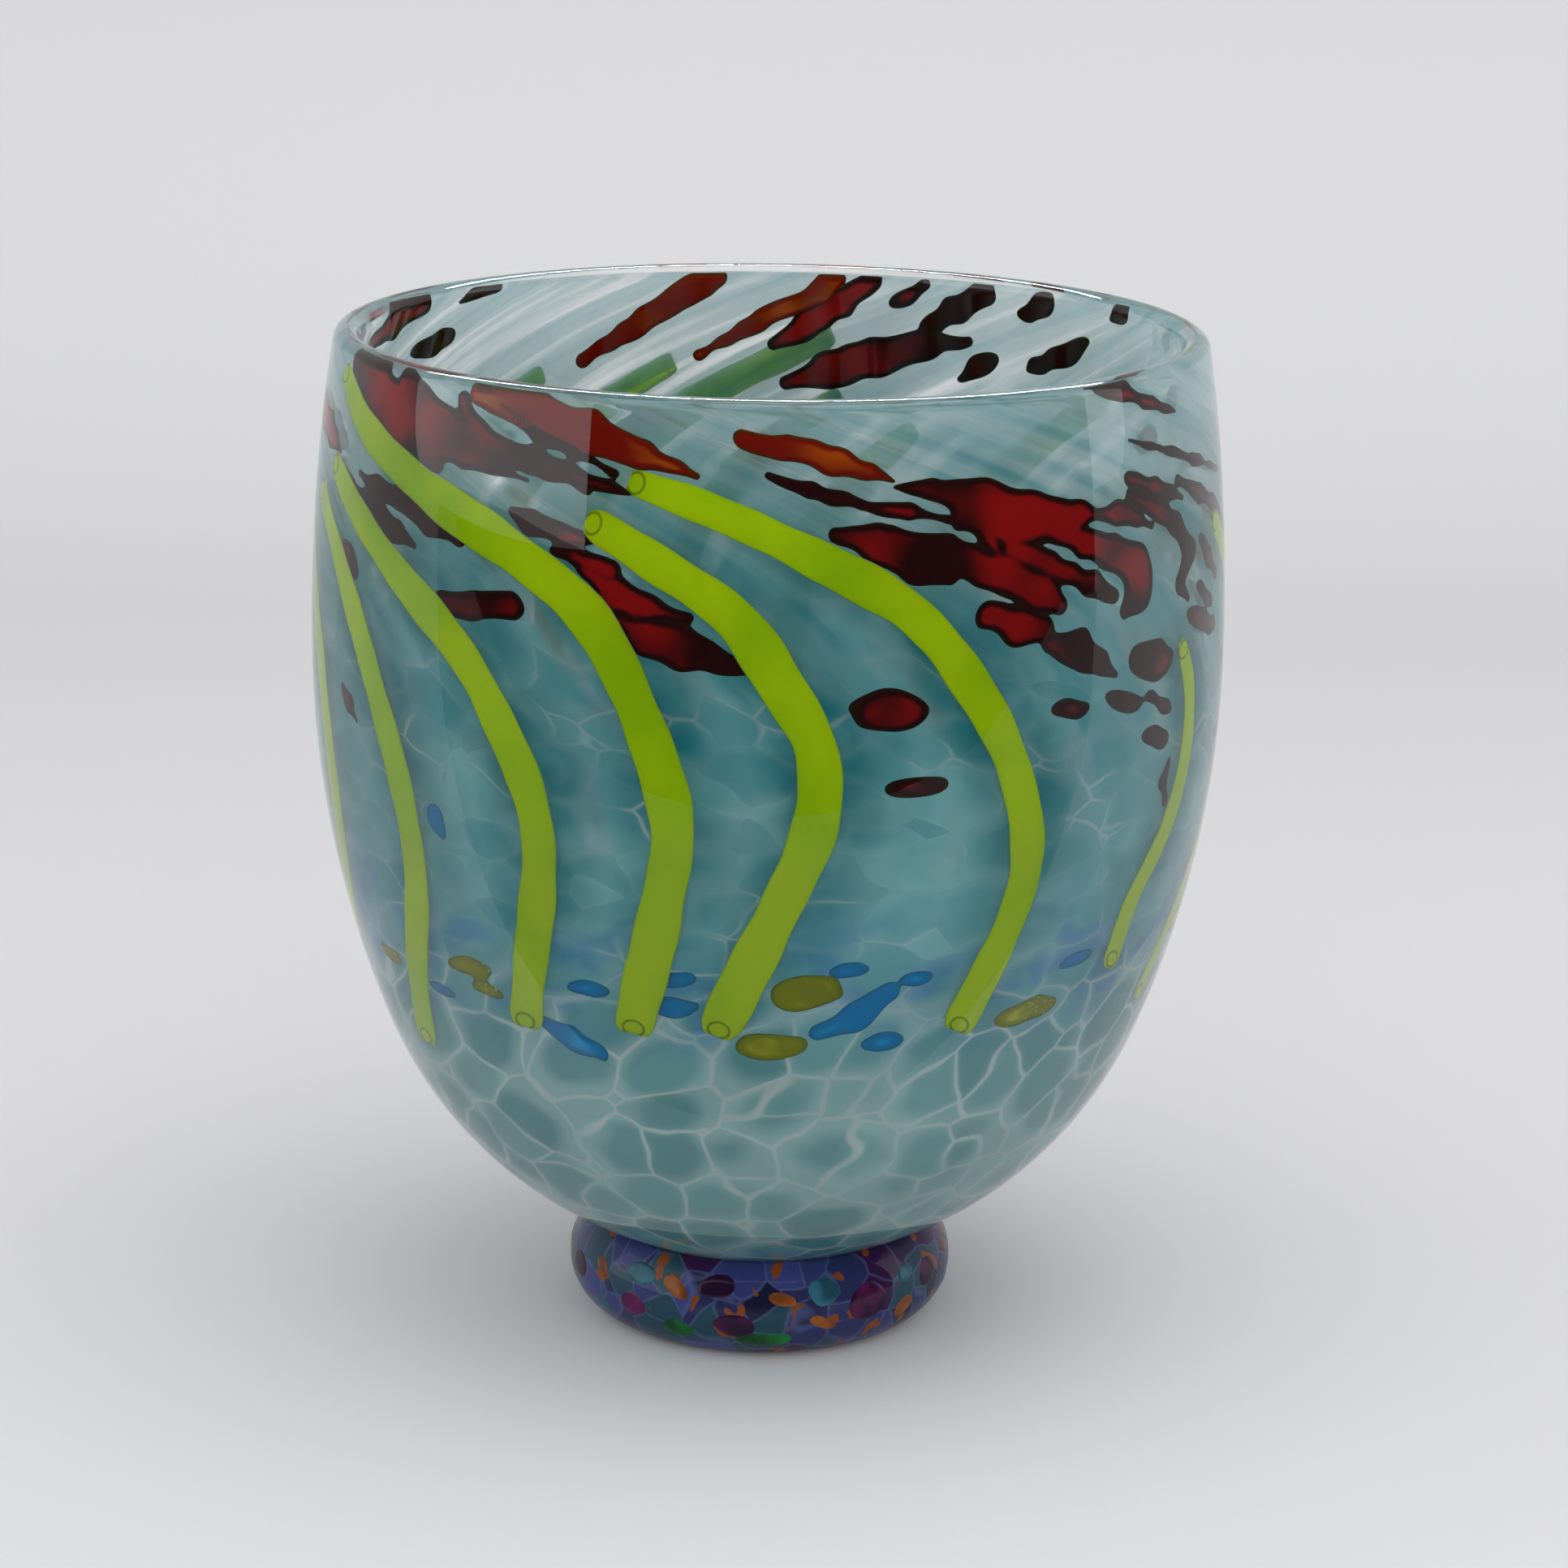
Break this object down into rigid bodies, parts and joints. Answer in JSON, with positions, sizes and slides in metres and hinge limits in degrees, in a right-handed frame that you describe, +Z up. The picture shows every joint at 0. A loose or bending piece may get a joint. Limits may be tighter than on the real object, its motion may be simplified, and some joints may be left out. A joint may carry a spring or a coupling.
{
  "type": "blown glass vase",
  "caption": "Hand blown art glass vase: a round cased bowl with twisted green canes and colour chips, a rounded lip and a small applied foot",
  "frame": {"origin": "centre of the foot's resting plane, on the vase's axis", "axes": "+Z up along the vase's axis; -Y is the front, +X is the vase's right as seen from the front"},
  "size_m": [0.169, 0.169, 0.1906],
  "materials": {
    "clear_glass": "clear fire-polished blown glass",
    "teal_glass": "milky teal chips melted into a thin layer",
    "green_glass": "yellow-green glass cane, glossy",
    "dark_red_glass": "deep oxblood glass, glossy",
    "orange_glass": "orange glass, glossy",
    "amber_glass": "olive amber glass with fine bubbles",
    "blue_glass": "bright blue glass",
    "lavender_glass": "lavender glass, glossy",
    "purple_glass": "dark purple glass",
    "deep_green_glass": "deep green glass",
    "deep_teal_glass": "deep teal glass"
  },
  "bodies": {
    "root": {"clear_outer_casing": "clear_glass", "teal_chip_layer": "teal_glass", "clear_inner_gather": "clear_glass", "green_cane_01": "green_glass", "green_cane_02": "green_glass", "green_cane_03": "green_glass", "green_cane_04": "green_glass", "green_cane_05": "green_glass", "green_cane_06": "green_glass", "green_cane_07": "green_glass", "green_cane_08": "green_glass", "green_cane_09": "green_glass", "green_cane_10": "green_glass", "green_cane_11": "green_glass", "green_cane_12": "green_glass", "green_cane_13": "green_glass", "green_cane_14": "green_glass", "green_cane_15": "green_glass", "green_cane_16": "green_glass", "green_cane_17": "green_glass", "green_cane_18": "green_glass", "dark_red_chips_left": "dark_red_glass", "dark_red_chips_front": "dark_red_glass", "dark_red_chips_right": "dark_red_glass", "dark_red_chips_back": "dark_red_glass", "orange_chips": "orange_glass", "amber_chips": "amber_glass", "blue_chips": "blue_glass", "foot_gather": "lavender_glass", "foot_purple_chips": "purple_glass", "foot_orange_chips": "orange_glass", "foot_green_chips": "deep_green_glass", "foot_teal_chips": "deep_teal_glass"}
  },
  "joints": []
}
